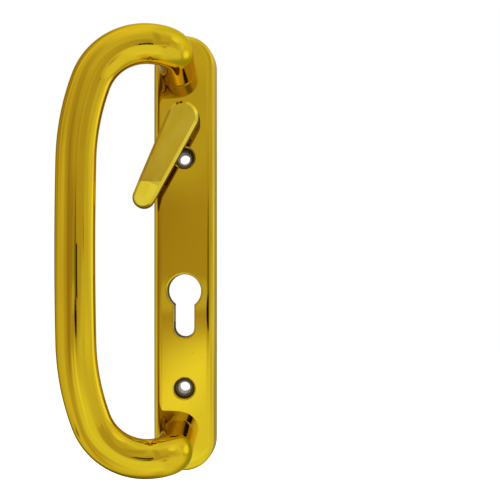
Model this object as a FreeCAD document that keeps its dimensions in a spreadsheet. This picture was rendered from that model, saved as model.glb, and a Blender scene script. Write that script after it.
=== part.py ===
import FreeCAD, Part
import math
import os
import re
import Sketcher
from FreeCAD import Placement, Rotation, Vector

# Sliding patio door handle, inside half: a cast backplate with a round bow pull and a finger lever.
# X runs across the plate, Z up it, and Y into the door: the back of the plate is at Y = 0.
# Depths are measured from the back plane towards the room, heights from the front face of the plate.

SIZES = [
    # backplate
    ("plate_length", 233.0, "overall, at the back"),
    ("plate_width", 34.0, "overall, at the back"),
    ("plate_depth", 12.0, "back plane to front face"),
    ("draft_angle", 6.0, "slope of the side walls, degrees"),
    ("edge_round", 3.0, "rounding round the front face"),
    ("face_wall", 2.5, "thickness behind the front face"),
    ("side_wall", 2.4, "thickness of the side walls"),
    ("rib_wall", 1.6, "thickness of the ribs"),
    ("rib_relief", 1.0, "ribs stand this far inside the back plane"),
    ("upper_rib_gap", 18.4, "cross rib below the upper fixing hole"),
    ("lower_rib_gap", 15.6, "cross rib above the lower fixing hole"),
    ("foot_rib_gap", 11.5, "cross ribs this far inside the feet of the bow"),
    # fixing holes and the profile cylinder
    ("upper_screw_gap", 47.1, "upper fixing hole below the upper foot; leaves 122 between the two holes"),
    ("lower_screw_gap", 25.9, "lower fixing hole above the lower foot"),
    ("screw_hole_r", 2.75, "clearance for M5"),
    ("counterbore_r", 5.4, "for the screw head"),
    ("counterbore_depth", 5.5, "depth of the counterbore"),
    ("pillar_wall", 1.8, "round the counterbore"),
    ("pivot_gap", 27.6, "lever pivot below the upper foot; leaves 90 down to the cylinder"),
    ("cylinder_gap", 77.4, "centre of the round part of the cut-out above the lower foot"),
    ("cylinder_r", 8.9, "round part of the cut-out"),
    ("cylinder_slot", 10.6, "width of the slot"),
    ("cylinder_height", 33.6, "overall height of the cut-out"),
    ("lining_wall", 1.8, "wall round the cut-out"),
    ("rim_round", 0.9, "soft front edge of the cut-out and the counterbores"),
    # bow
    ("bow_bar_r", 9.5, "radius of the round bar"),
    ("foot_x", -3.4, "centre of each foot across the plate"),
    ("foot_inset", 19.0, "centre of each foot from the end of the plate"),
    ("neck_height", 28.2, "straight neck, along its own axis"),
    ("neck_angle", 2.8, "the necks lean outwards, degrees"),
    ("elbow_radius", 12.4, "centre line of the elbow"),
    ("tilt_angle", 9.8, "the bow rises from the plate by this angle, degrees"),
    ("flare_angle", 1.3, "the bow leaves each elbow outwards by this angle, degrees"),
    ("corner_radius", 28.9, "centre line of the tight corner"),
    ("corner_end_angle", 70.1, "heading where the corner ends, degrees"),
    ("shoulder_bend", 117.5, "radius of the easier bend after the corner"),
    ("shoulder_end_angle", 88.68, "heading where the easier bend ends, degrees"),
    ("foot_overrun", 3.0, "the bar is made longer than this and cut flush with the plate"),
    # screws of the bow
    ("bow_thread_r", 3.0, "M6"),
    ("thread_gap", 0.05, "between a screw and its hole"),
    ("bow_hole_depth", 12.0, "tapped hole in each foot"),
    ("bow_screw_length", 16.0, "under the head"),
    ("bow_screw_head_r", 5.25, "button head"),
    ("bow_screw_head_height", 3.3, "button head"),
    ("bow_screw_point", 0.75, "bevel at the point"),
    ("hex_width", 4.0, "key size of the bow screws"),
    ("hex_depth", 1.9, "depth of the socket"),
    ("bow_seat_rise", 1.8, "seat of the bow screws behind the front wall"),
    ("bow_seat_r", 7.2, "radius of that seat"),
    ("bow_clearance_r", 3.3, "hole in the plate for the bow screws"),
    ("washer_r", 6.0, "outside of the washers"),
    ("washer_bore_r", 3.2, "bore of the washers"),
    ("washer_thick", 1.6, "flat washer"),
    ("spring_washer_r", 5.6, "outside of the split washer"),
    ("spring_washer_thick", 1.6, "split washer"),
    ("split_gap", 1.2, "gap of the split washer"),
    ("split_slant", 0.64, "the gap leans by this much to each side"),
    # lever
    ("lever_angle", 26.0, "at rest, from hanging straight down towards the bow, degrees"),
    ("travel_angle", 90.0, "from hanging straight down to level with the bow, degrees"),
    ("lever_reach", 46.2, "pivot to the centre of the tip"),
    ("lever_top", 14.0, "front of the lever above the plate"),
    ("hub_r", 8.0, "round end over the pivot"),
    ("tip_r", 5.7, "tip of the lever"),
    ("arm_clear", 6.0, "under the arm at the hub, above the plate"),
    ("arm_rise", 2.0, "the underside rises by this much to the tip"),
    ("hub_step", 0.6, "the underside starts this far inside the round end"),
    ("hub_blend", 2.5, "fillet between the hub and the underside"),
    ("tip_slope_start", 8.5, "the front slopes from this far before the tip centre"),
    ("tip_drop", 1.9, "drop of the slope at the end"),
    ("lever_bevel", 1.5, "bevel round the front"),
    ("shaft_r", 7.0, "hollow shaft of the lever"),
    ("shaft_flats", 12.0, "across the two flats at its end"),
    ("shaft_end", 1.0, "end of the shaft inside the back plane"),
    ("socket_depth", 20.0, "depth of the square socket"),
    ("run_gap", 0.05, "radial running gap of the shaft, and axial gaps"),
    ("bush_wall", 0.8, "sleeve of the bush"),
    ("bush_flange_r", 8.4, "flange of the bush"),
    ("bush_flange", 0.7, "thickness of the flange"),
    ("bearing_rise", 2.4, "bearing boss behind the front wall"),
    ("bearing_wall", 2.0, "boss round the bush"),
    ("thrust_r", 9.4, "outside of the thrust washer and the disc spring"),
    ("thrust_thick", 0.8, "thrust washer"),
    ("spring_thick", 0.5, "disc spring"),
    ("spring_height", 1.2, "disc spring as fitted"),
    ("stop_thick", 1.5, "stop plate"),
    ("stop_r", 9.2, "round part of the stop plate"),
    ("lug_reach", 13.2, "end of the lug from the pivot"),
    ("lug_width", 5.0, "width of the lug"),
    ("stop_post_r", 1.9, "cast stops"),
    ("stop_post_reach", 11.6, "cast stops from the pivot"),
    ("stop_post_short", 0.3, "cast stops end this far in front of the circlip"),
    ("stop_play_angle", 1.5, "the lug stops this far past each end of its travel, degrees"),
    ("clip_thick", 1.0, "circlip"),
    ("clip_groove_r", 6.5, "bottom of the groove"),
    ("clip_band", 2.0, "widest part of the circlip"),
    ("clip_thin", 1.2, "its band beside the gap"),
    ("clip_ear_r", 1.6, "ears of the circlip"),
    ("clip_eye_r", 0.75, "holes in the ears"),
    ("clip_gap", 3.4, "gap between the ears"),
    ("clip_ear_out", 0.96, "centre of each ear beside the gap"),
    ("clip_ear_drop", 1.68, "centre of each ear below the groove"),
    ("clip_eye_shift", 0.2, "each eye lies this far outside the centre of its ear"),
    # spindle
    ("spindle_side", 8.0, "across the flats"),
    ("spindle_gap", 0.05, "between the spindle and its socket"),
    ("spindle_out", 45.0, "beyond the back plane"),
    ("spindle_bevel", 0.8, "bevel at both ends"),
    ("spindle_short", 1.0, "its front end stays this far from the bottom of the socket"),
    ("grub_r", 2.0, "M4"),
    ("grub_length", 3.2, "grub screw"),
    ("grub_height", 3.4, "its centre above the plate"),
    ("grub_key", 2.0, "key size"),
    ("grub_key_depth", 1.6, "depth of the socket"),
    # drawing aids
    ("overcut", 1.0, "cuts start or end this far outside the material, joined features this far inside"),
]

WORDS = {alias for alias, _, _ in SIZES}
FULL_TURN = 360.0
# outlines are first drawn on a circle of this radius, then held at their real corners
DRAWN_R = 10.0
# an edge is picked when it lies this close to where the sheet puts it, in mm
NEAR = 1e-3
# the button head from its bearing face to its top: parts of its radius and of its height
BUTTON_HEAD = ((1.0, 0.2), (0.88, 0.62), (0.62, 0.92), (0.4, 1.0))

doc = FreeCAD.newDocument("patio_handle")
sheet = doc.addObject("Spreadsheet::Sheet", "Sizes")


def fill_sheet():
    for row, (alias, number, note) in enumerate(SIZES, start=1):
        sheet.set(f"A{row}", alias)
        sheet.set(f"B{row}", str(number))
        sheet.set(f"C{row}", note)
        sheet.setAlias(f"B{row}", alias)
    doc.recompute()


def size(alias):
    return float(sheet.get(alias))


def bind(thing, path, text):
    """Ties a property to a formula in the words of the sheet."""
    formula = re.sub(r"[a-z_]+", lambda m: f"Sizes.{m[0]}" if m[0] in WORDS else m[0], text)
    thing.setExpression(path, formula)


def new_body(label):
    body = doc.addObject("PartDesign::Body", label)
    body.Label = label
    return body


def sketch_on(body, role, offset="0"):
    """A sketch on one of the body's own planes, moved along the plane's normal."""
    plane = next(f for f in body.Origin.OriginFeatures if f.Role == role)
    sketch = body.newObject("Sketcher::SketchObject", "Sketch")
    sketch.AttachmentSupport = [(plane, "")]
    sketch.MapMode = "FlatFace"
    bind(sketch, "AttachmentOffset.Base.z", offset)
    return sketch


def limit(sketch, kind, *args, formula=None):
    """Adds one constraint; a formula ties its number to the sheet."""
    index = sketch.addConstraint(Sketcher.Constraint(kind, *args))
    if formula is not None:
        bind(sketch, f"Constraints[{index}]", formula)
    return index


def put_point(sketch, geometry, end, across, up):
    """Holds a point of a sketch at (across, up) from the sketch's origin."""
    limit(sketch, "DistanceX", -1, 1, geometry, end, 1.0, formula=across)
    limit(sketch, "DistanceY", -1, 1, geometry, end, 1.0, formula=up)


def chain_ends(sketch, chain, kind):
    """Joins the end of each piece of an outline to the start of the next."""
    for this, after in zip(chain, chain[1:] + chain[:1]):
        limit(sketch, kind, this, 2, after, 1)


def polygon(sketch, corners):
    """A closed outline of straight lines whose corners are pairs of formulas."""
    count = len(corners)
    lines = []
    for i in range(count):
        a = 2 * math.pi * i / count
        b = 2 * math.pi * (i + 1) / count
        start = (DRAWN_R * math.cos(a), DRAWN_R * math.sin(a))
        end = (DRAWN_R * math.cos(b), DRAWN_R * math.sin(b))
        lines.append(line(sketch, start, end))
    chain_ends(sketch, lines, "Coincident")
    for side, (across, up) in zip(lines, corners):
        put_point(sketch, side, 1, across, up)


def rectangle(sketch, left, right, low, high):
    polygon(sketch, [(left, low), (right, low), (right, high), (left, high)])


def line(sketch, start, end):
    """A straight line between two (across, up) places; returns its number in the sketch."""
    return sketch.addGeometry(Part.LineSegment(Vector(*start, 0), Vector(*end, 0)))


def arc(sketch, centre, radius, start, end):
    """An arc drawn anticlockwise between two angles round (across, up); returns its number in the sketch."""
    ring = Part.Circle(Vector(*centre, 0), Vector(0, 0, 1), radius)
    return sketch.addGeometry(Part.ArcOfCircle(ring, start, end))


def circle(sketch, across, up, radius):
    index = sketch.addGeometry(Part.Circle(Vector(1, 1, 0), Vector(0, 0, 1), 1.0))
    limit(sketch, "Radius", index, 1.0, formula=radius)
    put_point(sketch, index, 3, across, up)
    return index


def feature(body, kind, sketch=None):
    made = body.newObject(f"PartDesign::{kind}", kind)
    if sketch is not None:
        made.Profile = sketch
    return made


def pad(body, sketch, length, reverse=False):
    made = feature(body, "Pad", sketch)
    bind(made, "Length", length)
    made.Reversed = reverse
    return made


def pocket(body, sketch, length, reverse=False):
    made = feature(body, "Pocket", sketch)
    bind(made, "Length", length)
    made.Reversed = reverse
    return made


def turn(body, corners, kind="Revolution"):
    """Turns a half section, (radius, Y) pairs, round the Y axis."""
    sketch = sketch_on(body, "XY_Plane")
    polygon(sketch, corners)
    made = feature(body, kind, sketch)
    made.ReferenceAxis = (sketch, ["V_Axis"])
    made.Angle = FULL_TURN
    return made


def hexagon(sketch, across, up, width):
    """A hexagon with two flats level; width is the key size."""
    corner = f"({width}) / sqrt(3)"
    half = f"({width}) / (2 * sqrt(3))"
    corners = [
        (f"{across} + {corner}", up),
        (f"{across} + {half}", f"{up} + ({width}) / 2"),
        (f"{across} - {half}", f"{up} + ({width}) / 2"),
        (f"{across} - {corner}", up),
        (f"{across} - {half}", f"{up} - ({width}) / 2"),
        (f"{across} + {half}", f"{up} - ({width}) / 2"),
    ]
    polygon(sketch, corners)


def edge_names(shape, wanted):
    return [f"Edge{i}" for i, edge in enumerate(shape.Edges, start=1) if wanted(edge)]


def edge_feature(body, kind, wanted, path, formula):
    """Rounds or bevels the edges of the body that the test picks."""
    doc.recompute()
    base = body.Tip
    names = edge_names(base.Shape, wanted)
    made = feature(body, kind)
    made.Base = (base, names)
    bind(made, path, formula)
    return made


def at_y(edge, y):
    box = edge.BoundBox
    return abs(box.YMin - y) < NEAR and abs(box.YMax - y) < NEAR


def place(body, across="0", up="0"):
    bind(body, "Placement.Base.x", across)
    bind(body, "Placement.Base.z", up)


def place_on_pivot(body):
    """The lever and what turns with it hang straight down and are turned to the angle at rest."""
    body.Placement = Placement(Vector(0, 0, 0), Rotation(Vector(0, 1, 0), size("lever_angle")))
    bind(body, "Placement.Rotation.Angle", "lever_angle")
    bind(body, "Placement.Base.z", PIVOT_Z)


FOOT_Z = "(plate_length / 2 - foot_inset)"
PIVOT_Z = f"({FOOT_Z} - pivot_gap)"
CYLINDER_Z = f"(cylinder_gap - {FOOT_Z})"
SCREW_ZS = [f"({FOOT_Z} - upper_screw_gap)", f"(lower_screw_gap - {FOOT_Z})"]
FOOT_ZS = [FOOT_Z, f"-{FOOT_Z}"]
RIB_ZS = [
    f"({FOOT_Z} - foot_rib_gap)",
    f"({SCREW_ZS[0]} - upper_rib_gap)",
    f"({SCREW_ZS[1]} + lower_rib_gap)",
    f"(foot_rib_gap - {FOOT_Z})",
]
HUB_BASE = "(plate_depth + bush_flange + run_gap)"
LEVER_FRONT = "(plate_depth + lever_top)"
BEARING_BACK = "(plate_depth - face_wall - bearing_rise)"
SPRING_FRONT = f"({BEARING_BACK} - thrust_thick - run_gap)"
STOP_FRONT = f"({SPRING_FRONT} - spring_height)"
CLIP_FRONT = f"({STOP_FRONT} - stop_thick)"
BOW_SEAT = "(plate_depth - face_wall - bow_seat_rise)"


def foot_z():
    """The number that FOOT_Z stands for."""
    return size("plate_length") / 2 - size("foot_inset")


def plate_outline(sketch, inset):
    """The plate from the front: straight sides and round ends, drawn in by the inset."""
    gap = size("side_wall") if inset != "0" else 0.0
    half = size("plate_width") / 2 - gap
    rise = size("plate_length") / 2 - size("plate_width") / 2
    right = line(sketch, (half, -rise), (half, rise))
    top = arc(sketch, (0, rise), half, 0, math.pi)
    left = line(sketch, (-half, rise), (-half, -rise))
    low = arc(sketch, (0, -rise), half, math.pi, 2 * math.pi)
    chain_ends(sketch, [right, top, left, low], "Tangent")
    limit(sketch, "Vertical", right)
    for end, up, sign in ((top, rise, ""), (low, -rise, "-")):
        limit(sketch, "PointOnObject", end, 3, -2)
        limit(sketch, "DistanceY", -1, 1, end, 3, up, formula=f"{sign}(plate_length - plate_width) / 2")
    limit(sketch, "Radius", top, half, formula=f"plate_width / 2 - {inset}")


def keyhole(sketch, grow):
    """The profile cylinder's outline: a circle over a round-ended slot, grown outwards by a wall."""
    wall = size("lining_wall") if grow != "0" else 0.0
    radius = size("cylinder_r") + wall
    half = size("cylinder_slot") / 2 + wall
    centre = size("cylinder_gap") - foot_z()
    low = centre + size("cylinder_r") - size("cylinder_height") + size("cylinder_slot") / 2
    dip = math.asin(half / radius)
    down = 1.5 * math.pi
    big = arc(sketch, (0, centre), radius, down + dip, down + 2 * math.pi - dip)
    join = centre - radius * math.cos(dip)
    left = line(sketch, (-half, join), (-half, low))
    small = arc(sketch, (0, low), half, math.pi, 2 * math.pi)
    right = line(sketch, (half, low), (half, join))
    limit(sketch, "Coincident", big, 2, left, 1)
    limit(sketch, "Tangent", left, 2, small, 1)
    limit(sketch, "Tangent", small, 2, right, 1)
    limit(sketch, "Coincident", right, 2, big, 1)
    limit(sketch, "Vertical", left)
    limit(sketch, "PointOnObject", big, 3, -2)
    limit(sketch, "PointOnObject", small, 3, -2)
    limit(sketch, "DistanceY", -1, 1, big, 3, centre, formula=CYLINDER_Z)
    limit(sketch, "Radius", big, radius, formula=f"cylinder_r + {grow}")
    limit(sketch, "Radius", small, half, formula=f"cylinder_slot / 2 + {grow}")
    drop = f"{CYLINDER_Z} + cylinder_r - cylinder_height + cylinder_slot / 2"
    limit(sketch, "DistanceY", -1, 1, small, 3, low, formula=drop)


def tapered_capsule(sketch):
    """The lever from the front: a large round end over the pivot, a small one at the tip."""
    big = size("hub_r")
    small = size("tip_r")
    reach = size("lever_reach")
    lean = math.asin((big - small) / reach)
    across = math.cos(lean)
    down = -math.sin(lean)
    hub = arc(sketch, (0, 0), big, -lean, math.pi + lean)
    left = line(sketch, (-across * big, down * big), (-across * small, down * small - reach))
    end = arc(sketch, (0, -reach), small, math.pi + lean, 2 * math.pi - lean)
    right = line(sketch, (across * small, down * small - reach), (across * big, down * big))
    chain_ends(sketch, [hub, left, end, right], "Tangent")
    limit(sketch, "Coincident", hub, 3, -1, 1)
    limit(sketch, "PointOnObject", end, 3, -2)
    limit(sketch, "DistanceY", -1, 1, end, 3, -reach, formula="-lever_reach")
    limit(sketch, "Radius", hub, big, formula="hub_r")
    limit(sketch, "Radius", end, small, formula="tip_r")


def double_flat(sketch, gap):
    """A circle with two flats, for the end of the shaft; the gap widens it."""
    play = size("run_gap")
    radius = size("shaft_r") + play
    half = size("shaft_flats") / 2 + play
    rise = math.acos(half / radius)
    up = radius * math.sin(rise)
    top = arc(sketch, (0, 0), radius, rise, math.pi - rise)
    left = line(sketch, (-half, up), (-half, -up))
    low = arc(sketch, (0, 0), radius, math.pi + rise, 2 * math.pi - rise)
    right = line(sketch, (half, -up), (half, up))
    chain_ends(sketch, [top, left, low, right], "Coincident")
    for arc_index in (top, low):
        limit(sketch, "Coincident", arc_index, 3, -1, 1)
        limit(sketch, "Radius", arc_index, radius, formula=f"shaft_r + {gap}")
    limit(sketch, "Vertical", left)
    limit(sketch, "Vertical", right)
    limit(sketch, "DistanceX", -1, 1, right, 1, half, formula=f"shaft_flats / 2 + {gap}")
    limit(sketch, "DistanceX", -1, 1, left, 1, -half, formula=f"-shaft_flats / 2 - {gap}")


def backplate():
    body = new_body("backplate")
    outline = sketch_on(body, "XZ_Plane")
    plate_outline(outline, "0")
    slab = pad(body, outline, "plate_depth")
    bind(slab, "TaperAngle", "-draft_angle")
    front = -size("plate_depth")
    edge_feature(body, "Fillet", lambda e: at_y(e, front), "Radius", "edge_round")

    # the hollow behind the face
    hollow = sketch_on(body, "XZ_Plane")
    plate_outline(hollow, "side_wall")
    hollowed = pocket(body, hollow, "plate_depth - face_wall", reverse=True)
    bind(hollowed, "TaperAngle", "-draft_angle")
    add_ribs(body)
    add_bosses(body)
    cut_holes(body)
    return body


def add_ribs(body):
    """Cross ribs from wall to wall; the one in the middle comes flush with the back plane."""
    half = "((plate_width - side_wall - plate_depth * tan(draft_angle)) / 2)"
    ribs = sketch_on(body, "XZ_Plane", "rib_relief")
    for middle in RIB_ZS:
        rectangle(ribs, f"-{half}", half, f"{middle} - rib_wall / 2", f"{middle} + rib_wall / 2")
    pad(body, ribs, "plate_depth - face_wall / 2 - rib_relief")
    middle_rib = sketch_on(body, "XZ_Plane")
    rectangle(middle_rib, f"-{half}", half, "-rib_wall / 2", "rib_wall / 2")
    pad(body, middle_rib, "plate_depth - face_wall / 2")


def add_bosses(body):
    """Screw pillars, the lining of the cut-out, the bearing boss, its stops and the seats of the bow."""
    pillars = sketch_on(body, "XZ_Plane")
    for z in SCREW_ZS:
        circle(pillars, "0", z, "counterbore_r + pillar_wall")
    pad(body, pillars, "plate_depth - face_wall / 2")
    lining = sketch_on(body, "XZ_Plane")
    keyhole(lining, "lining_wall")
    pad(body, lining, "plate_depth - face_wall / 2")
    bearing = sketch_on(body, "XZ_Plane", BEARING_BACK)
    circle(bearing, "0", PIVOT_Z, "shaft_r + run_gap + bush_wall + bearing_wall")
    pad(body, bearing, "bearing_rise + face_wall / 2")
    lug_to_post = "asin((lug_width / 2 + stop_post_r) / stop_post_reach)"
    swing = f"((travel_angle / 2 + stop_play_angle) * 1 deg + {lug_to_post})"
    stops = sketch_on(body, "XZ_Plane", f"{CLIP_FRONT} + stop_post_short")
    for sign in ("", "-"):
        across = f"{sign}stop_post_reach * sin({swing})"
        circle(stops, across, f"{PIVOT_Z} + stop_post_reach * cos({swing})", "stop_post_r")
    pad(body, stops, f"plate_depth - face_wall / 2 - {CLIP_FRONT} - stop_post_short")
    seats = sketch_on(body, "XZ_Plane", BOW_SEAT)
    for z in FOOT_ZS:
        circle(seats, "foot_x", z, "bow_seat_r")
    pad(body, seats, "bow_seat_rise + face_wall / 2")


def cut_holes(body):
    through = "plate_depth + overcut"
    holes = sketch_on(body, "XZ_Plane")
    for z in SCREW_ZS:
        circle(holes, "0", z, "screw_hole_r")
    circle(holes, "0", PIVOT_Z, "shaft_r + run_gap + bush_wall")
    for z in FOOT_ZS:
        circle(holes, "foot_x", z, "bow_clearance_r")
    pocket(body, holes, through, reverse=True)
    cylinder = sketch_on(body, "XZ_Plane")
    keyhole(cylinder, "0")
    pocket(body, cylinder, through, reverse=True)
    bores = sketch_on(body, "XZ_Plane", "plate_depth")
    for z in SCREW_ZS:
        circle(bores, "0", z, "counterbore_r")
    pocket(body, bores, "counterbore_depth")
    soften_front_holes(body)


def soften_front_holes(body):
    """Rounds the front edges of the cut-out and of the two counterbores."""
    front = -size("plate_depth")
    low = size("lower_screw_gap") - foot_z()
    high = foot_z() - size("upper_screw_gap")
    reach = size("counterbore_r") + NEAR

    def wanted(edge):
        box = edge.BoundBox
        inner = max(abs(box.XMin), abs(box.XMax)) < size("cylinder_r") + NEAR
        return at_y(edge, front) and inner and box.ZMin > low - reach and box.ZMax < high + reach

    edge_feature(body, "Fillet", wanted, "Radius", "rim_round")


def bow_centre_line():
    """Centre line of the bow: neck, elbow, tight corner, easier bend and a long flat arc, mirrored below."""
    depth = size("plate_depth")
    lean = math.radians(size("neck_angle"))
    tilt = math.radians(size("tilt_angle"))
    out = Vector(-math.cos(tilt), -math.sin(tilt), 0)
    up = Vector(0, 0, 1)
    neck_way = Vector(0, -math.cos(lean), math.sin(lean))
    foot = Vector(size("foot_x"), -depth, foot_z())
    start = foot - neck_way * size("foot_overrun")
    elbow = foot + neck_way * size("neck_height")
    heading = math.radians(size("flare_angle"))
    way = out * math.cos(heading) + up * math.sin(heading)
    edges = [Part.LineSegment(start, elbow)]
    swing = neck_way.getAngle(way)
    inward = (way - neck_way * neck_way.dot(way)).normalize()
    here = add_arc(edges, elbow, neck_way, inward, size("elbow_radius"), swing)
    bends = (("corner_radius", "corner_end_angle"), ("shoulder_bend", "shoulder_end_angle"))
    for radius, end in bends:
        after = -math.radians(size(end))
        way = out * math.cos(heading) + up * math.sin(heading)
        inward = out * math.sin(heading) - up * math.cos(heading)
        here = add_arc(edges, here, way, inward, size(radius), heading - after)
        heading = after
    rest = math.pi / 2 + heading
    way = out * math.cos(heading) + up * math.sin(heading)
    inward = out * math.sin(heading) - up * math.cos(heading)
    middle = add_arc([], here, way, inward, here.z / math.sin(rest), rest)
    edges.append(Part.Arc(here, middle, Vector(here.x, here.y, -here.z)))
    upper = [edge.toShape() for edge in edges]
    lower = [edge.mirror(Vector(0, 0, 0), up) for edge in reversed(upper[:-1])]
    return Part.Wire(upper + lower)


def add_arc(edges, here, way, inward, radius, angle):
    """Adds an arc that leaves here along way and bends inward; returns its far end."""

    def point(turned):
        return here + way * (radius * math.sin(turned)) + inward * (radius * (1 - math.cos(turned)))

    end = point(angle)
    edges.append(Part.Arc(here, point(angle / 2), end))
    return end


def bow_handle():
    """A round bar swept along its centre line, cut flush with the plate, with a tapped hole in each foot."""
    path = doc.addObject("Part::Feature", "bow_centre_line")
    path.Shape = bow_centre_line()
    section = doc.addObject("Part::Circle", "bow_section")
    bind(section, "Radius", "bow_bar_r")
    first = path.Shape.Edges[0]
    facing = Rotation(Vector(0, 0, 1), first.tangentAt(0))
    section.Placement = Placement(first.valueAt(first.FirstParameter), facing)
    bar = doc.addObject("Part::Sweep", "bow_bar")
    bar.Sections = [section]
    bar.Spine = (path, edge_names(path.Shape, lambda edge: True))
    bar.Solid = True
    trim = doc.addObject("Part::Box", "door_side")
    bind(trim, "Length", "4 * bow_bar_r")
    bind(trim, "Width", "2 * foot_overrun + bow_bar_r")
    bind(trim, "Height", f"2 * {FOOT_Z} + 4 * bow_bar_r")
    bind(trim, "Placement.Base.x", "foot_x - 2 * bow_bar_r")
    bind(trim, "Placement.Base.y", "-plate_depth")
    bind(trim, "Placement.Base.z", f"-{FOOT_Z} - 2 * bow_bar_r")
    cutters = [trim]
    for name, z in zip(("upper", "lower"), FOOT_ZS):
        hole = doc.addObject("Part::Cylinder", f"tapped_hole_{name}")
        bind(hole, "Radius", "bow_thread_r + thread_gap")
        bind(hole, "Height", "bow_hole_depth")
        hole.Placement = Placement(Vector(0, 0, 0), Rotation(Vector(1, 0, 0), 90))
        bind(hole, "Placement.Base.x", "foot_x")
        bind(hole, "Placement.Base.y", "-plate_depth")
        bind(hole, "Placement.Base.z", z)
        cutters.append(hole)
    tools = doc.addObject("Part::MultiFuse", "foot_cutters")
    tools.Shapes = cutters
    bow = doc.addObject("Part::Cut", "bow_handle")
    bow.Base = bar
    bow.Tool = tools
    bow.Label = "bow_handle"
    return bow


def bow_screw(label, z):
    """Button head screw, from behind, through the washers and the plate into the foot."""
    head = "(-" + BOW_SEAT + " + washer_thick + spring_washer_thick)"
    top = f"{head} + bow_screw_head_height"
    body = new_body(label)
    corners = [
        ("0", f"{head} - bow_screw_length"),
        ("bow_thread_r - bow_screw_point", f"{head} - bow_screw_length"),
        ("bow_thread_r", f"{head} - bow_screw_length + bow_screw_point"),
        ("bow_thread_r", head),
        ("bow_screw_head_r", head),
    ]
    for radius, height in BUTTON_HEAD:
        corners.append((f"bow_screw_head_r * {radius}", f"{head} + bow_screw_head_height * {height}"))
    corners.append(("0", top))
    turn(body, corners)
    socket = sketch_on(body, "XZ_Plane", f"-({top})")
    hexagon(socket, "0", "0", "hex_width")
    pocket(body, socket, "hex_depth", reverse=True)
    place(body, "foot_x", z)
    return body


def ring(label, inner, outer, front, thick, across, up):
    """A flat washer whose front face lies at the given depth."""
    body = new_body(label)
    corners = [
        (inner, f"-({front})"),
        (outer, f"-({front})"),
        (outer, f"-({front}) + {thick}"),
        (inner, f"-({front}) + {thick}"),
    ]
    turn(body, corners)
    place(body, across, up)
    return body


def split_washer(label, z):
    front = f"({BOW_SEAT} - washer_thick)"
    body = ring(label, "washer_bore_r", "spring_washer_r", front, "spring_washer_thick", "foot_x", z)
    gap = sketch_on(body, "XZ_Plane", f"{front} - spring_washer_thick")
    corners = [
        ("-split_gap / 2 - split_slant", "0"),
        ("split_gap / 2 - split_slant", "0"),
        ("split_gap / 2 + split_slant", "spring_washer_r + overcut"),
        ("-split_gap / 2 + split_slant", "spring_washer_r + overcut"),
    ]
    polygon(gap, corners)
    pocket(body, gap, "spring_washer_thick", reverse=True)
    return body


def lever():
    """Finger lever: a tapered arm over a round hub, with a hollow shaft that passes through the plate."""
    body = new_body("lever")
    outline = sketch_on(body, "XZ_Plane", HUB_BASE)
    tapered_capsule(outline)
    pad(body, outline, f"{LEVER_FRONT} - {HUB_BASE}")
    cut_lever_sides(body)
    bevel_lever(body)
    shaft = sketch_on(body, "XZ_Plane", "shaft_end")
    circle(shaft, "0", "0", "shaft_r")
    pad(body, shaft, f"{HUB_BASE} - shaft_end + overcut")
    cut_shaft(body)
    place_on_pivot(body)
    return body


def cut_lever_sides(body):
    """The space under the arm and the slope at the tip, cut across the lever."""
    end = "(-lever_reach - tip_r - overcut)"
    neck = "(-hub_r + hub_step)"
    low = "(-plate_depth - arm_clear)"
    across = "2 * (hub_r + overcut)"
    under = sketch_on(body, "YZ_Plane", "-hub_r - overcut")
    corners = [
        (f"-{HUB_BASE} + overcut", neck),
        (low, neck),
        (f"{low} - arm_rise", end),
        (f"-{HUB_BASE} + overcut", end),
    ]
    polygon(under, corners)
    pocket(body, under, across, reverse=True)
    kink = "(-lever_reach + tip_slope_start)"
    slope = sketch_on(body, "YZ_Plane", "-hub_r - overcut")
    drop = "tip_drop * (tip_slope_start + tip_r + overcut) / (tip_slope_start + tip_r)"
    corners = [
        (f"-{LEVER_FRONT}", kink),
        (f"-{LEVER_FRONT} + {drop}", end),
        (f"-{LEVER_FRONT} - overcut", end),
        (f"-{LEVER_FRONT} - overcut", kink),
    ]
    polygon(slope, corners)
    pocket(body, slope, across, reverse=True)
    neck_z = -size("hub_r") + size("hub_step")
    low_y = -size("plate_depth") - size("arm_clear")

    def inside_corner(edge):
        box = edge.BoundBox
        middle = edge.CenterOfMass
        off = max(abs(middle.y - low_y), abs(middle.z - neck_z))
        return box.XLength > size("hub_r") and off < NEAR

    edge_feature(body, "Fillet", inside_corner, "Radius", "hub_blend")


def bevel_lever(body):
    """Bevels the outer edges of the front, the slope's too, but not the fold between them."""
    front = -size("plate_depth") - size("lever_top")
    back = front + size("tip_drop") + NEAR
    fold = -size("lever_reach") + size("tip_slope_start")

    def wanted(edge):
        box = edge.BoundBox
        is_fold = abs(box.ZMin - fold) < NEAR and abs(box.ZMax - fold) < NEAR
        return box.YMin > front - NEAR and box.YMax < back and not is_fold

    edge_feature(body, "Chamfer", wanted, "Size", "lever_bevel")


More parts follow.
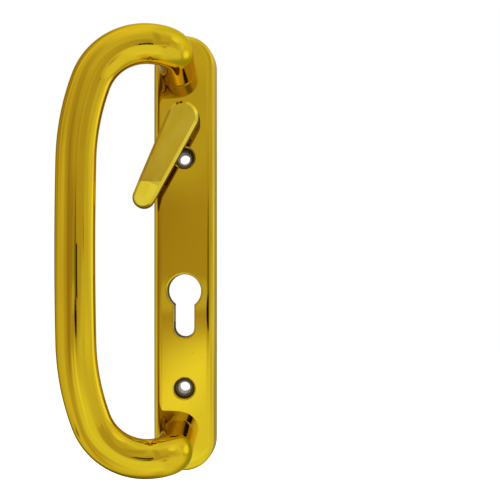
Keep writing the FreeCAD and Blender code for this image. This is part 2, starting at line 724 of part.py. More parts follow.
def cut_shaft(body):
    """Flats and groove at the end of the shaft, the square socket, and the hole of the grub screw."""
    flats = sketch_on(body, "XZ_Plane", "shaft_end")
    far = "(shaft_r + overcut)"
    for sign in ("", "-"):
        near_x = f"{sign}shaft_flats / 2"
        far_x = f"{sign}{far}"
        polygon(flats, [(near_x, f"-{far}"), (far_x, f"-{far}"), (far_x, far), (near_x, far)])
    pocket(body, flats, f"{STOP_FRONT} - shaft_end", reverse=True)
    groove_front = f"-{CLIP_FRONT}"
    groove_back = f"-{CLIP_FRONT} + clip_thick + run_gap"
    corners = [
        ("clip_groove_r", groove_front),
        ("shaft_r + overcut", groove_front),
        ("shaft_r + overcut", groove_back),
        ("clip_groove_r", groove_back),
    ]
    turn(body, corners, kind="Groove")
    socket = sketch_on(body, "XZ_Plane", "shaft_end")
    half = "(spindle_side / 2 + spindle_gap)"
    rectangle(socket, f"-{half}", half, f"-{half}", half)
    pocket(body, socket, "socket_depth", reverse=True)
    grub = sketch_on(body, "XY_Plane", "-hub_r - overcut")
    circle(grub, "0", "-plate_depth - grub_height", "grub_r + thread_gap")
    pocket(body, grub, "hub_r + overcut - spindle_side / 2", reverse=True)


def lever_bush():
    body = new_body("lever_bush")
    inner = "shaft_r + run_gap"
    outer = "shaft_r + run_gap + bush_wall"
    corners = [
        (inner, f"-{BEARING_BACK}"),
        (inner, "-plate_depth - bush_flange"),
        ("bush_flange_r", "-plate_depth - bush_flange"),
        ("bush_flange_r", "-plate_depth"),
        (outer, "-plate_depth"),
        (outer, f"-{BEARING_BACK}"),
    ]
    turn(body, corners)
    place(body, "0", PIVOT_Z)
    return body


def disc_spring():
    """A conical spring washer, as pressed between the thrust washer and the stop plate."""
    body = new_body("disc_spring")
    rise = "(spring_height - spring_thick)"
    inner = "shaft_r + run_gap"
    corners = [
        (inner, f"-{STOP_FRONT} - spring_thick"),
        (inner, f"-{STOP_FRONT}"),
        ("thrust_r", f"-{STOP_FRONT} - {rise}"),
        ("thrust_r", f"-{STOP_FRONT} - {rise} - spring_thick"),
    ]
    turn(body, corners)
    place_on_pivot(body)
    return body


def stop_plate():
    """A pressed plate on the flats of the shaft; its lug points up when the lever is half way."""
    body = new_body("stop_plate")
    blank = sketch_on(body, "XZ_Plane", CLIP_FRONT)
    circle(blank, "0", "0", "stop_r")
    pad(body, blank, "stop_thick")
    lug = sketch_on(body, "XZ_Plane", CLIP_FRONT)
    add_lug(lug)
    pad(body, lug, "stop_thick")
    bore = sketch_on(body, "XZ_Plane", CLIP_FRONT)
    double_flat(bore, "run_gap")
    pocket(body, bore, "stop_thick", reverse=True)
    place_on_pivot(body)
    return body


def add_lug(sketch):
    """A rectangle that points away from the centre, turned back from straight up by half the travel."""
    half = "lug_width / 2"
    root = "stop_r / 2"
    turned = "(travel_angle / 2)"
    corners = []
    for across, up in ((f"-{half}", root), (half, root), (half, "lug_reach"), (f"-{half}", "lug_reach")):
        x = f"({across}) * cos({turned}) - ({up}) * sin({turned})"
        z = f"({across}) * sin({turned}) + ({up}) * cos({turned})"
        corners.append((x, z))
    polygon(sketch, corners)


def circlip():
    """External ring, thinner beside its gap, with two eyes for the pliers."""
    body = new_body("circlip")
    back = f"({CLIP_FRONT} - clip_thick)"
    band = sketch_on(body, "XZ_Plane", back)
    circle(band, "0", "(clip_band - clip_thin) / 2", "clip_groove_r + (clip_band + clip_thin) / 2")
    circle(band, "0", "0", "clip_groove_r + run_gap")
    pad(body, band, "clip_thick")
    ears = sketch_on(body, "XZ_Plane", back)
    ear_x = "(clip_gap / 2 + clip_ear_out)"
    ear_z = "(-clip_groove_r - clip_ear_drop)"
    for sign in ("", "-"):
        circle(ears, f"{sign}{ear_x}", ear_z, "clip_ear_r")
    pad(body, ears, "clip_thick")
    cuts = sketch_on(body, "XZ_Plane", back)
    far = "-clip_groove_r - clip_ear_drop - clip_ear_r - overcut"
    rectangle(cuts, "-clip_gap / 2", "clip_gap / 2", far, "0")
    for sign in ("", "-"):
        circle(cuts, f"{sign}({ear_x} + clip_eye_shift)", ear_z, "clip_eye_r")
    pocket(body, cuts, "clip_thick", reverse=True)
    place_on_pivot(body)
    return body


def spindle():
    body = new_body("spindle")
    front = "(shaft_end + socket_depth - spindle_short)"
    bar = sketch_on(body, "XZ_Plane", "-spindle_out")
    half = "spindle_side / 2"
    rectangle(bar, f"-{half}", half, f"-{half}", half)
    pad(body, bar, f"spindle_out + {front}")
    near = -(size("shaft_end") + size("socket_depth") - size("spindle_short"))
    far = size("spindle_out")
    edge_feature(body, "Chamfer", lambda e: at_y(e, near) or at_y(e, far), "Size", "spindle_bevel")
    place_on_pivot(body)
    return body


def grub_screw():
    body = new_body("spindle_grub_screw")
    low = "(-spindle_side / 2 - thread_gap - grub_length)"
    rod = sketch_on(body, "XY_Plane", low)
    circle(rod, "0", "-plate_depth - grub_height", "grub_r")
    pad(body, rod, "grub_length")
    key = sketch_on(body, "XY_Plane", low)
    hexagon(key, "0", "-plate_depth - grub_height", "grub_key")
    pocket(body, key, "grub_key_depth", reverse=True)
    place_on_pivot(body)
    return body


def check(thing):
    doc.recompute()
    bad = [o.Label for o in doc.Objects if "Invalid" in o.State or "Error" in o.State]
    if bad:
        raise RuntimeError(f"{thing.Label}: not computed: {bad}")
    if thing.Shape.isNull() or not thing.Shape.isValid() or not thing.Shape.Solids:
        raise RuntimeError(f"{thing.Label}: no valid solid")


def build():
    made = [backplate(), bow_handle()]
    for name, z in zip(("upper", "lower"), FOOT_ZS):
        made.append(bow_screw(f"bow_screw_{name}", z))
        washer = (BOW_SEAT, "washer_thick", "foot_x", z)
        made.append(ring(f"bow_plain_washer_{name}", "washer_bore_r", "washer_r", *washer))
        made.append(split_washer(f"bow_spring_washer_{name}", z))
    made += [lever(), lever_bush(), disc_spring(), stop_plate(), circlip(), spindle(), grub_screw()]
    thrust = (BEARING_BACK, "thrust_thick", "0", PIVOT_Z)
    made.append(ring("thrust_washer", "shaft_r + run_gap", "thrust_r", *thrust))
    return made


os.makedirs("parts", exist_ok=True)
fill_sheet()
for part in build():
    check(part)
    part.Shape.exportStep(f"parts/{part.Label}.step")
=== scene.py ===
import bpy
import math
import numpy as np
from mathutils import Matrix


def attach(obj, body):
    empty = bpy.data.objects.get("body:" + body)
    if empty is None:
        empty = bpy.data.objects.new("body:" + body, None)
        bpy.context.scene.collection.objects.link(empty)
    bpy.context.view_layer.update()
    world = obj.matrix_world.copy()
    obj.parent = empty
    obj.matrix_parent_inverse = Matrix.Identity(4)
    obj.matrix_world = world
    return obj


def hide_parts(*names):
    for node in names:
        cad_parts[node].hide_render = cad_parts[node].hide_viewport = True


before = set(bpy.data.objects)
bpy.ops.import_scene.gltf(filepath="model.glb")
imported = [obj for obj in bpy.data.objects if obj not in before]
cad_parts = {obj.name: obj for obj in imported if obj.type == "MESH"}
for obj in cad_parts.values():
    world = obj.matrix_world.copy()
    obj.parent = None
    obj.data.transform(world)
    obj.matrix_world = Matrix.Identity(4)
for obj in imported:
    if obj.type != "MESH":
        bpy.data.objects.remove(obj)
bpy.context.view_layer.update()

# Camera. It stands level with the door leaf, 45 cm in front of it and a little right of the plate,
# with a long lens; a small shift keeps the whole bow in the picture.
camera = bpy.data.objects.new("camera", bpy.data.cameras.new("camera"))
bpy.context.scene.collection.objects.link(camera)
camera.location = (0.0296, -0.452, -0.0092)
camera.rotation_euler = (math.radians(90), 0, math.radians(-0.676))
camera.data.lens = 59.85
camera.data.sensor_width = 36.0
camera.data.shift_y = 0.041
camera.data.clip_start = 0.01
camera.data.clip_end = 20.0
bpy.context.scene.camera = camera


# Backplate. A hollow die casting in zinc alloy, linished on its face and walls, polished, then plated
# in gold colour and lacquered; behind it the cast skin shows under a thin coat.
end_centre = 0.0995  # from the plate's middle to the centre of each round end
plate_depth = 0.012
pivot_z = 0.0699
recesses = ((0.0504, 0.0056), (-0.0716, 0.0056))  # height and radius of the two screw recesses
cut_out_rounds = ((-0.0201, 0.0095), (-0.0395, 0.0061))  # height and radius, just outside the cut-out's walls
seat_r = 0.0047  # of the seat for a screw's head
rim_r = 0.0031  # of the ring that the screw's head rubs bare
# the start and the end of each soft step between two finishes, in Y or in distance from the plate's middle line
polish_ends = (-0.0114, -0.0108)
seat_starts = (-0.0072, -0.0066)
face_wall_ends = (-0.0100, -0.0096)
side_wall_ends = (0.0153, 0.0149)
roll_start = 0.0115
roll_end = 0.0134
roll_curve = 29000.0
gold_colour = (0.85, 0.60, 0.02)
gold_deep = (0.72, 0.47, 0.012)
gold_edge = (0.88, 0.74, 0.40)
# painted shade for the recesses and the cut-out's walls, and a lighter painted shade for the screws' seats
hole_painted_shade = (0.03, 0.018, 0.005)
seat_painted_shade = (0.14, 0.11, 0.055)
worn_zinc = (0.55, 0.52, 0.44)
cast_dark = (0.42, 0.29, 0.06)
cast_light = (0.62, 0.45, 0.10)


def feed(tree, made, values):
    """Fills inputs of a node: a value that is a socket is linked, any other is set."""
    for name, value in values.items():
        if isinstance(value, bpy.types.NodeSocket):
            tree.links.new(value, made.inputs[name])
        else:
            made.inputs[name].default_value = value


def node(tree, kind, values=None, **settings):
    """A new shader node with its settings and inputs."""
    made = tree.nodes.new("ShaderNode" + kind)
    for name, setting in settings.items():
        setattr(made, name, setting)
    feed(tree, made, values or {})
    return made


def maths(tree, operation, first, *others):
    """Arithmetic on numbers; three or more are taken one after the other."""
    if not others:
        return node(tree, "Math", {0: first}, operation=operation).outputs[0]
    for other in others:
        first = node(tree, "Math", {0: first, 1: other}, operation=operation).outputs[0]
    return first


def ramp(tree, value, start, end, low=0.0, high=1.0):
    """A smooth rise from low to high while the value goes from start to end."""
    values = {"Value": value, "From Min": start, "From Max": end, "To Min": low, "To Max": high}
    return node(tree, "MapRange", values, interpolation_type="SMOOTHSTEP").outputs[0]


def blend(tree, share, *colours):
    """A mix of two colours, each a socket or its red, green and blue."""
    first, second = [c if isinstance(c, bpy.types.NodeSocket) else (*c, 1.0) for c in colours]
    return node(tree, "Mix", {0: share, 6: first, 7: second}, data_type="RGBA").outputs[2]


def stretched(tree, vector, scale):
    """A vector with each part multiplied by its own number."""
    return node(tree, "VectorMath", {0: vector, 1: scale}, operation="MULTIPLY").outputs[0]


def noise(tree, vector, scale, detail=2.0, roughness=0.5):
    """Noise at a place, as a number about 0.5."""
    values = {"Vector": vector, "Scale": scale, "Detail": detail, "Roughness": roughness}
    return node(tree, "TexNoise", values).outputs[0]


def new_group(name, inputs, outputs):
    """An empty shader node group with named sockets; returns it with its given values and its output node."""
    group = bpy.data.node_groups.new(name, "ShaderNodeTree")
    kinds = {"vector": "NodeSocketVector", "value": "NodeSocketFloat", "colour": "NodeSocketColor"}
    for title, kind in inputs:
        group.interface.new_socket(title, in_out="INPUT", socket_type=kinds[kind])
    for title, kind in outputs:
        group.interface.new_socket(title, in_out="OUTPUT", socket_type=kinds[kind])
    return group, group.nodes.new("NodeGroupInput").outputs, group.nodes.new("NodeGroupOutput")


def placed(tree, group, values):
    """A group put in a material with its own values; returns its outputs."""
    return node(tree, "Group", values, node_tree=group).outputs


def buffing():
    """Polish left by a felt wheel that runs along Z: slow ripples, faint lines, clouds of handling and pin holes."""
    group, given, out = new_group(
        "buffing",
        [("Place", "vector"), ("Ripple", "value"), ("Lines", "value"), ("Handling", "value")],
        [("Height", "value"), ("Roughness", "value"), ("Tone", "value")],
    )
    ripple = noise(group, stretched(group, given["Place"], (1.0, 1.0, 0.16)), 95.0, 1.0)
    lines = noise(group, stretched(group, given["Place"], (1.0, 1.0, 0.02)), 1500.0, 2.0, 0.6)
    cloud = ramp(group, noise(group, given["Place"], 38.0, 4.0, 0.6), 0.5, 0.72)
    pin = node(group, "TexVoronoi", {"Vector": given["Place"], "Scale": 240.0}).outputs["Distance"]
    raised = maths(group, "MULTIPLY", ripple, given["Ripple"])
    scored = maths(group, "MULTIPLY", lines, given["Lines"])
    sunk = maths(group, "MULTIPLY", ramp(group, pin, 0.09, 0.03), -0.02)
    matt = maths(group, "MULTIPLY", cloud, given["Handling"])
    streak = ramp(group, lines, 0.55, 0.75, 0.0, 0.05)
    feed(group, out, {
        "Height": maths(group, "ADD", raised, scored, sunk),
        "Roughness": maths(group, "ADD", matt, streak),
        "Tone": ramp(group, noise(group, given["Place"], 22.0, 3.0, 0.5), 0.3, 0.7),
    })
    return group


BUFFING = buffing()


def new_material(name):
    """A new material; returns it with its node tree and its Principled shader."""
    made = bpy.data.materials.new(name)
    made.use_nodes = True
    return made, made.node_tree, made.node_tree.nodes["Principled BSDF"]


def own_place(tree):
    """The place in the piece's own coordinates."""
    return node(tree, "TexCoord").outputs["Object"]


def parts_of(tree, vector):
    """The X, Y and Z of a vector."""
    return node(tree, "SeparateXYZ", {0: vector}).outputs


def fed_by(made, name):
    """The socket that feeds an input so far."""
    return made.inputs[name].links[0].from_socket


def polished_gold(name, place, ripple, lines, handling, base=0.03):
    """Plated and lacquered gold: a metal tinted towards its edges; place gives the point in the wheel's direction."""
    made, tree, shader = new_material(name)
    polish = placed(tree, BUFFING, {"Place": place(tree), "Ripple": ripple, "Lines": lines, "Handling": handling})
    feed(tree, shader, {
        "Metallic": 1.0,
        "Specular Tint": (*gold_edge, 1),
        "Base Color": blend(tree, maths(tree, "MULTIPLY", polish["Tone"], 0.35), gold_colour, gold_deep),
        "Roughness": maths(tree, "ADD", polish["Roughness"], base),
        "Normal": node(tree, "Bump", {"Strength": 1.0, "Distance": 0.001, "Height": polish["Height"]}).outputs[0],
    })
    return made, tree, shader


def round_mask():
    """1 inside a circle drawn on the plate's face and 0 outside, from the distance to a line along Y."""
    group, given, out = new_group(
        "round_mask",
        [("Place", "vector"), ("Centre", "vector"), ("Radius", "value"), ("Soft", "value")],
        [("Inside", "value")],
    )
    off = node(group, "VectorMath", {0: given["Place"], 1: given["Centre"]}, operation="SUBTRACT").outputs[0]
    far = node(group, "VectorMath", {0: stretched(group, off, (1.0, 0.0, 1.0))}, operation="LENGTH").outputs[1]
    edge = maths(group, "ADD", given["Radius"], given["Soft"])
    feed(group, out, {"Inside": ramp(group, far, edge, given["Radius"])})
    return group


ROUND_MASK = round_mask()


def mask_at(tree, place, z, radius, soft):
    """The round mask at a height on the plate's middle line."""
    values = {"Place": place, "Centre": (0.0, 0.0, z), "Radius": radius, "Soft": soft}
    return placed(tree, ROUND_MASK, values)["Inside"]


def dress(material, *names):
    """Gives a material to pieces of the frame."""
    for name in names:
        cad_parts[name].material_slots[0].material = material


gold_plate, tree, shader = polished_gold("gold_plate", own_place, 0.02, 0.0004, 0.06)
place = own_place(tree)
at = parts_of(tree, place)
# the walls of the recesses and of the cut-out are rougher, not metal, and get a near-black painted shade for the shade
# that falls in these holes
holes = [mask_at(tree, place, z, r, 0.0003) for z, r in cut_out_rounds]
holes += [mask_at(tree, place, z, r, 0.0002) for z, r in recesses]
inside = maths(tree, "MULTIPLY", ramp(tree, at["Y"], *polish_ends), maths(tree, "MAXIMUM", *holes))
# the seats of the screws get a lighter, dark brown painted shade, and a ring round each bolt hole is rubbed bare
seats = [mask_at(tree, place, z, seat_r, 0.0005) for z, r in recesses]
seat = maths(tree, "MULTIPLY", ramp(tree, at["Y"], *seat_starts), maths(tree, "MAXIMUM", *seats))
rims = [mask_at(tree, place, z, rim_r, 0.0008) for z, r in recesses]
worn = maths(tree, "MULTIPLY", seat, maths(tree, "MAXIMUM", *rims))
# behind the face, more than the side wall's width in from the outline, the casting keeps its dull skin
beyond = maths(tree, "MAXIMUM", maths(tree, "SUBTRACT", maths(tree, "ABSOLUTE", at["Z"]), end_centre), 0.0)
squares = [maths(tree, "MULTIPLY", part, part) for part in (at["X"], beyond)]
from_line = maths(tree, "SQRT", maths(tree, "ADD", *squares))
hollow = maths(
    tree, "MULTIPLY",
    ramp(tree, from_line, *side_wall_ends), ramp(tree, at["Y"], *face_wall_ends), maths(tree, "SUBTRACT", 1.0, inside),
)
grain = noise(tree, place, 900.0, 4.0, 0.65)
# the recesses carry painted shade with the worn rims, and the back carries its cast skin; both are rougher than the
# face
skin_and_shaded_recess = maths(tree, "MAXIMUM", hollow, inside)
recess_shade_and_worn_rim = blend(tree, worn, blend(tree, seat, hole_painted_shade, seat_painted_shade), worn_zinc)
skin_and_recess_shade = blend(tree, hollow, recess_shade_and_worn_rim, blend(tree, grain, cast_dark, cast_light))
rougher = maths(tree, "MULTIPLY", skin_and_shaded_recess, ramp(tree, inside, 0.0, 1.0, 0.34, 0.6))
feed(tree, shader, {
    "Base Color": blend(tree, skin_and_shaded_recess, fed_by(shader, "Base Color"), skin_and_recess_shade),
    "Roughness": maths(tree, "ADD", fed_by(shader, "Roughness"), rougher),
    "Metallic": ramp(tree, inside, 0.0, 1.0, 1.0, 0.0),
})
# the wheel rolls the last millimetres of the face over by a few degrees
over = maths(tree, "MAXIMUM", maths(tree, "SUBTRACT", maths(tree, "MINIMUM", from_line, roll_end), roll_start), 0.0)
rolled = maths(tree, "MULTIPLY", over, over, -roll_curve)
cast = maths(tree, "MULTIPLY", grain, hollow, 0.10)
bump = fed_by(shader, "Normal").node
feed(tree, bump, {"Height": maths(tree, "ADD", fed_by(bump, "Height"), cast, rolled)})
dress(gold_plate, "backplate")


# Bush, washers, disc spring, stop plate, circlip and spindle. Black nylon and zinc plated or oiled steel, stacked
# on the lever's hollow shaft and held from behind by the circlip; the spindle is held in the shaft by its screw.
def plain_steel(name, light, dark, base, grain):
    """Plated or oiled steel: a dull metal with a fine pressed grain and darker clouds."""
    made, tree, shader = new_material(name)
    place = own_place(tree)
    clouds = ramp(tree, noise(tree, place, 160.0, 4.0, 0.6), 0.35, 0.7)
    fine = noise(tree, place, 2500.0, 3.0, 0.7)
    feed(tree, shader, {
        "Metallic": 1.0,
        "Base Color": blend(tree, clouds, light, dark),
        "Roughness": ramp(tree, clouds, 0.0, 1.0, base, base + 0.15),
        "Normal": node(tree, "Bump", {"Strength": grain, "Distance": 0.0001, "Height": fine}).outputs[0],
    })
    return made


zinc_plated = plain_steel("zinc_plated", (0.62, 0.62, 0.60), (0.48, 0.49, 0.50), 0.28, 0.35)
oiled_steel = plain_steel("oiled_steel", (0.085, 0.085, 0.09), (0.04, 0.038, 0.036), 0.36, 0.4)

black_nylon, tree, shader = new_material("black_nylon")
place = own_place(tree)
feed(tree, shader, {
    "Base Color": blend(tree, noise(tree, place, 90.0, 3.0), (0.035, 0.035, 0.036), (0.055, 0.054, 0.052)),
    "Specular IOR Level": 0.25,
    "Roughness": ramp(tree, noise(tree, place, 900.0, 3.0), 0.3, 0.7, 0.55, 0.65),
    "Normal": node(
        tree, "Bump", {"Strength": 0.3, "Distance": 0.0001, "Height": noise(tree, place, 3000.0, 2.0)}
    ).outputs[0],
})

dress(black_nylon, "lever_bush")
dress(zinc_plated, "thrust_washer", "stop_plate", "spindle")
dress(oiled_steel, "disc_spring", "circlip", "spindle_grub_screw")


# Lever. A zinc die casting with a hollow shaft, its front and bevels polished and plated as the plate is;
# it turns in the bush and carries the spindle.
lever_lean = math.radians(-27.0)
bevel_ends = (-0.0243, -0.0232)  # the soft step in Y from the polished bevel to the painted shade on the sides and back
tip_start = 0.0365
tip_slope = 176.0
rubbed_gold = (0.90, 0.72, 0.06)
# a dark painted shade for the lever's sides and back
lever_painted_shade = (0.24, 0.15, 0.012)


def lever_place(tree):
    """The place turned about the pin so that the wheel's direction runs along the lever."""
    values = {"Vector": own_place(tree), "Center": (0.0, 0.0, pivot_z), "Angle": lever_lean}
    return node(tree, "VectorRotate", values, rotation_type="Y_AXIS").outputs[0]


gold_lever, tree, shader = polished_gold("gold_lever", lever_place, 0.06, 0.0014, 0.16, 0.10)
at = parts_of(tree, own_place(tree))
# handling has worn the lacquer here, in paler patches drawn out along the lever
patches = noise(tree, stretched(tree, lever_place(tree), (1.0, 1.0, 0.35)), 130.0, 4.0, 0.6)
rubbed = blend(tree, ramp(tree, patches, 0.35, 0.65, 0.1, 0.9), fed_by(shader, "Base Color"), rubbed_gold)
# behind the bevel the sides and back are rougher and get a dark painted shade, for the shade under the lever and
# between it and the plate
skin = ramp(tree, at["Y"], *bevel_ends)
feed(tree, shader, {
    "Base Color": blend(tree, skin, rubbed, lever_painted_shade),
    "Roughness": maths(tree, "ADD", fed_by(shader, "Roughness"), maths(tree, "MULTIPLY", skin, 0.25)),
})
# the tip is tilted towards its end by the wheel
beyond = maths(tree, "MAXIMUM", maths(tree, "SUBTRACT", tip_start, at["Z"]), 0.0)
bump = fed_by(shader, "Normal").node
feed(tree, bump, {"Height": maths(tree, "ADD", fed_by(bump, "Height"), maths(tree, "MULTIPLY", beyond, -tip_slope))})
dress(gold_lever, "lever")


# Bow. A round bar bent to a D, cut flush where its feet stand on the plate and tapped for its screws,
# buffed along its length, then plated and lacquered.
bar_r = 0.0095
bar_points = 96
foot = np.array([-0.0034, -plate_depth, 0.0975])
neck_height = 0.0282
neck_lean = math.radians(2.8)
neck_steps = 13
elbow_r = 0.0124
elbow_steps = 39
tilt = math.radians(9.8)
flare = math.radians(1.3)
corner_r = 0.0289
corner_end = math.radians(-70.1)
corner_steps = 49
shoulder_r = 0.1175
shoulder_end = math.radians(-88.68)
shoulder_steps = 29
grip_steps = 49
tapped_r = 0.00305
tapped_depth = 0.012
inner_side = (0.88, 0.48)  # across the bar, towards the plate and the hand
inner_starts = (0.32 * bar_r, 0.72 * bar_r)
# painted shade for the side of the bar that faces the plate and the hand
bow_inner_painted_shade = (0.38, 0.24, 0.010)


def bow_stations():
    """Centre line of the bow from its upper foot to its lower one, as places, headings and a side vector.

    The neck is straight; the elbow turns it into a tilted plane; there it runs in arcs, each of which leaves the
    last along its heading. The side vector is the normal of the tilted plane, and in the elbow and neck the same
    vector turned back with the heading. The grip's arc has the radius that makes it upright at mid height. The
    lower half is the upper one mirrored in Z and run backwards.
    """
    up = np.array([0.0, 0.0, 1.0])
    out = np.array([-math.cos(tilt), -math.sin(tilt), 0.0])
    flat = np.cross(out, up)
    neck_way = np.array([0.0, -math.cos(neck_lean), math.sin(neck_lean)])
    way = math.cos(flare) * out + math.sin(flare) * up
    swing = math.acos(neck_way @ way)
    axis = np.cross(neck_way, way) / math.sin(swing)
    inward = (way - neck_way * (neck_way @ way)) / math.sin(swing)

    def turned_back(angle):
        """The side vector, turned back round the elbow's axis by an angle (Rodrigues)."""
        c, s = np.cos(-angle)[:, None], np.sin(-angle)[:, None]
        return flat * c + np.cross(axis, flat) * s + axis * (axis @ flat) * (1 - c)

    def arc(start, way, inward, radius, t):
        """Places on an arc after turns t: start + r (sin t * way + (1 - cos t) * inward)."""
        c, s = np.cos(t)[..., None], np.sin(t)[..., None]
        return start + radius * (s * way + (1 - c) * inward)

    run = np.linspace(0.0, neck_height, neck_steps, endpoint=False)[:, None]
    t = np.linspace(0.0, swing, elbow_steps, endpoint=False)
    here = foot + neck_way * neck_height
    places = [foot + run * neck_way, arc(here, neck_way, inward, elbow_r, t)]
    ways = [np.tile(neck_way, (neck_steps, 1)), np.cos(t)[:, None] * neck_way + np.sin(t)[:, None] * inward]
    sides = [turned_back(np.full(neck_steps, swing)), turned_back(swing - t)]
    here = arc(here, neck_way, inward, elbow_r, swing)
    heading = flare
    for radius, end, steps in (
        (corner_r, corner_end, corner_steps),
        (shoulder_r, shoulder_end, shoulder_steps),
        (None, -math.pi / 2, grip_steps),
    ):
        turn = heading - end
        if radius is None:
            radius = here[2] / math.sin(turn)
        t = np.linspace(0.0, turn, steps, endpoint=False)
        now = (heading - t)[:, None]
        way = math.cos(heading) * out + math.sin(heading) * up
        inward = math.sin(heading) * out - math.cos(heading) * up
        places.append(arc(here, way, inward, radius, t))
        ways.append(np.cos(now) * out + np.sin(now) * up)
        sides.append(np.tile(flat, (steps, 1)))
        here = arc(here, way, inward, radius, turn)
        heading = end
    places, ways, sides = [
        np.concatenate([*half, middle[None]]) for half, middle in ((places, here), (ways, -up), (sides, flat))
    ]
    mirror = np.array([1.0, 1.0, -1.0])
    return (
        np.concatenate([places, places[-2::-1] * mirror]),
        np.concatenate([ways, -ways[-2::-1] * mirror]),
        np.concatenate([sides, sides[-2::-1] * mirror]),
    )


def loft(name, rings, pole_start, pole_end, along, material):
    """A closed skin over rings of points: each ring joins the next by quads, each end closes on a pole.

    The UV map holds the distance along the bar in metres and the part of a turn round it.
    """
    count, around = rings.shape[:2]
    points = np.concatenate([rings.reshape(-1, 3), [pole_start, pole_end]])
    i, j = np.meshgrid(np.arange(count - 1), np.arange(around), indexing="ij")
    k = (j + 1) % around
    quads = np.stack([i * around + j, i * around + k, (i + 1) * around + k, (i + 1) * around + j], -1)
    u = along[np.stack([i, i, i + 1, i + 1], -1)]
    v = (j[..., None] + np.array([0, 1, 1, 0])) / around
    last = (count - 1) * around
    fan_start = np.stack([np.full(around, count * around), k[0], j[0]], -1)
    fan_end = np.stack([np.full(around, count * around + 1), last + j[0], last + k[0]], -1)
    end_map = np.repeat([[along[0], 0.0], [along[-1], 0.0]], around * 3, axis=0)
    mesh = bpy.data.meshes.new(name)
    mesh.from_pydata(points.tolist(), [], quads.reshape(-1, 4).tolist() + fan_start.tolist() + fan_end.tolist())
    mesh.update()
    layer = mesh.uv_layers.new(name="along_bar")
    bar_map = np.concatenate([np.stack([u, v], -1).reshape(-1, 2), end_map])
    layer.data.foreach_set("uv", bar_map.astype(np.float32).ravel())
    mesh.polygons.foreach_set("use_smooth", np.ones(len(mesh.polygons), bool))
    mesh.materials.append(material)
    piece = bpy.data.objects.new(name, mesh)
    bpy.context.scene.collection.objects.link(piece)
    return piece


def bar_place(tree):
    """The UV map rolled back into a straight bar: (r cos turn, r sin turn, distance along)."""
    parts = parts_of(tree, node(tree, "UVMap", uv_map="along_bar").outputs[0])
    turn = maths(tree, "MULTIPLY", parts[1], 2 * math.pi)
    x, y = [maths(tree, "MULTIPLY", maths(tree, way, turn), bar_r) for way in ("COSINE", "SINE")]
    return node(tree, "CombineXYZ", {0: x, 1: y, 2: parts[0]}).outputs[0]


def to_plate(ring, way):
    """The ring slid along the neck until it lies on the plate's face."""
    return ring + way * ((-plate_depth - ring[:, 1:2]) / way[1])


def tapped(ring, z):
    """The mouth and the bottom of the tapped hole, point by point inside the foot's edge."""
    centre = np.array([foot[0], -plate_depth, z])
    spoke = ring - centre
    spoke /= np.linalg.norm(spoke, axis=1)[:, None]
    mouth = centre + tapped_r * spoke
    return mouth, mouth - np.array([0.0, tapped_depth, 0.0])


places, ways, sides = bow_stations()
round_turn = np.linspace(0.0, 2 * math.pi, bar_points, endpoint=False)[None, :, None]
cross = np.cross(ways, sides)
rings = places[:, None] + bar_r * (np.cos(round_turn) * sides[:, None] + np.sin(round_turn) * cross[:, None])
along = np.concatenate([[0.0], np.cumsum(np.linalg.norm(np.diff(places, axis=0), axis=1))])
first = to_plate(rings[0], ways[0])
last = to_plate(rings[-1], ways[-1])
clear = rings[:, :, 1].max(1) < -plate_depth
mouth_up, floor_up = tapped(first, foot[2])
mouth_low, floor_low = tapped(last, -foot[2])
skin = np.concatenate([[floor_up, mouth_up, first], rings[clear], [last, mouth_low, floor_low]])
run = np.concatenate([[0.0] * 3, along[clear], [along[-1]] * 3])

gold_bow, tree, shader = polished_gold("gold_bow", bar_place, 0.03, 0.0004, 0.10)
bar = parts_of(tree, bar_place(tree))
# painted shade: the side of the bar that faces the plate and the hand, and the inside of the elbows, are darkened
facing = maths(tree, "ADD", *[maths(tree, "MULTIPLY", bar[axis], share) for axis, share in zip("XY", inner_side)])
shaded_inner = ramp(tree, facing, *inner_starts)
feed(tree, shader, {"Base Color": blend(tree, shaded_inner, fed_by(shader, "Base Color"), bow_inner_painted_shade)})
bow = loft("bow", skin, floor_up.mean(0), floor_low.mean(0), run, gold_bow)
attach(bow, "plate")
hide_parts("bow_handle")


# Screws of the bow with their washers. Zinc plated button head screws, put in from behind through the plate
# into the feet, each over a split washer of oiled spring steel and a plain washer.
for end in ("upper", "lower"):
    dress(zinc_plated, "bow_screw_" + end, "bow_plain_washer_" + end)
    dress(oiled_steel, "bow_spring_washer_" + end)


# Studio. A white room; what polished metal sees of it is a tent of soft lights and dark cards,
# which shows in reflections only.
tent_centre = (0.0, -0.05, 0.0)
tent_r = 0.6
tent_cloth = (0.56, 0.53, 0.53)
